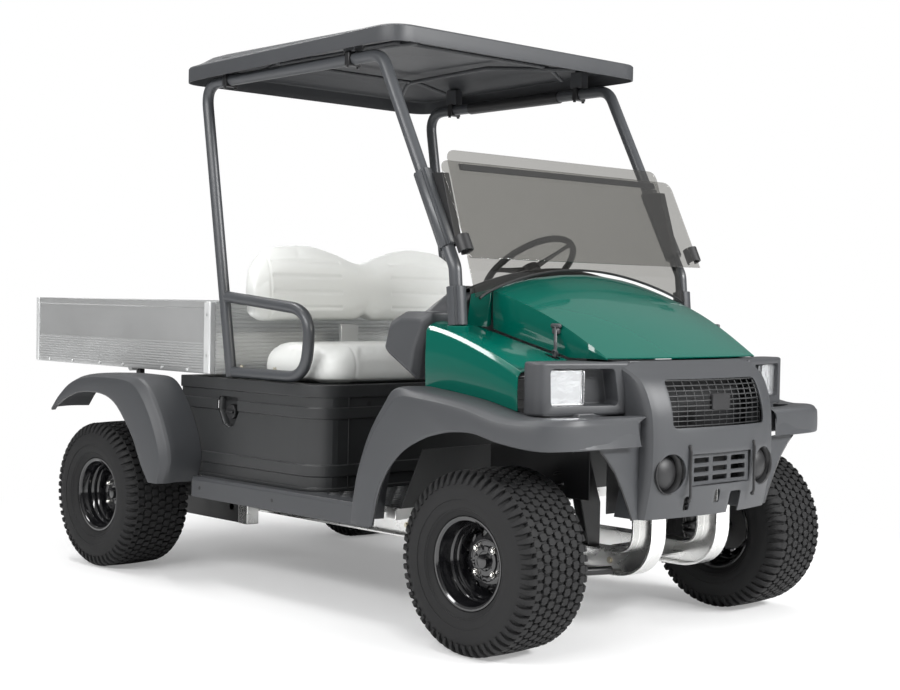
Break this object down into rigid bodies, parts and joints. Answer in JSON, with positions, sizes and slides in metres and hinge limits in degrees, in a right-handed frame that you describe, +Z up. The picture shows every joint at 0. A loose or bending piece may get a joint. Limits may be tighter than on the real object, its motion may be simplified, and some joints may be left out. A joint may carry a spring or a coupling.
{
  "type": "utility vehicle",
  "caption": "Open two-seat utility vehicle with a tipping aluminium load bed, moulded roof on tube hoops, folded windscreen and turf tyres.",
  "frame": {"origin": "on the floor below the centre of the bounding box, with the vehicle standing on its wheels", "axes": "+X forward along the vehicle, +Y to the driver's left, +Z up"},
  "size_m": [3.12, 1.54, 1.97],
  "materials": {
    "green_paint": "high gloss deep green",
    "charcoal_plastic": "fine textured charcoal moulding",
    "black_plastic": "satin black moulding",
    "satin_aluminium": "satin extrusion",
    "bright_aluminium": "bright extrusion",
    "black_steel": "black powder coat",
    "wheel_black": "gloss black enamel",
    "tube_paint": "satin charcoal powder coat",
    "cast_metal": "dark as cast",
    "tyre_rubber": "moulded rubber",
    "pale_vinyl": "pale grey vinyl",
    "tinted_pane": "grey tinted sheet",
    "clear_lamp": "clear moulded lens"
  },
  "bodies": {
    "chassis": {"frame": "bright_aluminium", "floor_pan": "charcoal_plastic", "seat_body": "charcoal_plastic", "seat_base": "pale_vinyl", "seat_back": "pale_vinyl", "back_bracket": "black_steel", "rear_frame": "black_steel", "rear_axle": "cast_metal", "engine": "cast_metal", "front_fender_left": "charcoal_plastic", "front_fender_right": "charcoal_plastic", "rear_fender_left": "charcoal_plastic", "rear_fender_right": "charcoal_plastic", "cowl": "green_paint", "fascia": "charcoal_plastic", "grille_mesh": "black_plastic", "slot_plate": "black_plastic", "headlamp_left": "clear_lamp", "headlamp_right": "clear_lamp", "dash": "charcoal_plastic", "canopy": "charcoal_plastic", "hoop_left": "tube_paint", "hoop_right": "tube_paint", "hip_loop_left": "tube_paint", "hip_loop_right": "tube_paint", "windscreen_lower": "tinted_pane", "windscreen_upper": "tinted_pane", "suspension_left": "black_steel", "suspension_right": "black_steel", "steering_column": "black_steel", "pedals": "black_plastic"},
    "hood": {"hood": "green_paint"},
    "bed": {"bed_floor": "satin_aluminium", "bed_side_left": "satin_aluminium", "bed_side_right": "satin_aluminium", "bed_front": "satin_aluminium"},
    "tailgate": {"tailgate": "satin_aluminium"},
    "steering_wheel": {"steering_wheel": "black_plastic"},
    "knuckle_left": {"knuckle_left": "cast_metal"},
    "knuckle_right": {"knuckle_right": "cast_metal"},
    "wheel_front_left": {"rim_front_left": "wheel_black", "tyre_front_left": "tyre_rubber"},
    "wheel_front_right": {"rim_front_right": "wheel_black", "tyre_front_right": "tyre_rubber"},
    "wheel_rear_left": {"rim_rear_left": "wheel_black", "tyre_rear_left": "tyre_rubber"},
    "wheel_rear_right": {"rim_rear_right": "wheel_black", "tyre_rear_right": "tyre_rubber"}
  },
  "joints": [
    {"name": "steer_left", "type": "hinge", "parent": "chassis", "child": "knuckle_left", "pos_m": [1.165, 0.53, 0.2794], "axis": [0, 0, 1], "range_deg": [-28, 28]},
    {"name": "steer_right", "type": "hinge", "parent": "chassis", "child": "knuckle_right", "pos_m": [1.165, -0.53, 0.2794], "axis": [0, 0, 1], "range_deg": [-28, 28]},
    {"name": "steering_wheel_turn", "type": "hinge", "parent": "chassis", "child": "steering_wheel", "pos_m": [0.42, 0.32, 1.17], "axis": [-0.6428, 0, 0.766], "range_deg": [-310, 310]},
    {"name": "spin_front_left", "type": "hinge", "parent": "knuckle_left", "child": "wheel_front_left", "pos_m": [1.165, 0.61, 0.2794], "axis": [0, 1, 0], "continuous": true},
    {"name": "spin_front_right", "type": "hinge", "parent": "knuckle_right", "child": "wheel_front_right", "pos_m": [1.165, -0.61, 0.2794], "axis": [0, 1, 0], "continuous": true},
    {"name": "spin_rear_left", "type": "hinge", "parent": "chassis", "child": "wheel_rear_left", "pos_m": [-0.845, 0.63, 0.2794], "axis": [0, 1, 0], "continuous": true},
    {"name": "spin_rear_right", "type": "hinge", "parent": "chassis", "child": "wheel_rear_right", "pos_m": [-0.845, -0.63, 0.2794], "axis": [0, 1, 0], "continuous": true},
    {"name": "bed_tip", "type": "hinge", "parent": "chassis", "child": "bed", "pos_m": [-1.36, 0, 0.741], "axis": [0, -1, 0], "range_deg": [0, 50]},
    {"name": "tailgate_drop", "type": "hinge", "parent": "bed", "child": "tailgate", "pos_m": [-1.548, 0, 0.767], "axis": [0, -1, 0], "range_deg": [0, 90]},
    {"name": "hood_lift", "type": "hinge", "parent": "chassis", "child": "hood", "pos_m": [0.958, 0, 1.15], "axis": [0, -1, 0], "range_deg": [0, 45]}
  ],
  "couplings": [
    {"joint": "steer_right", "follows": "steer_left", "ratio": 1},
    {"joint": "steering_wheel_turn", "follows": "steer_left", "ratio": 11}
  ]
}
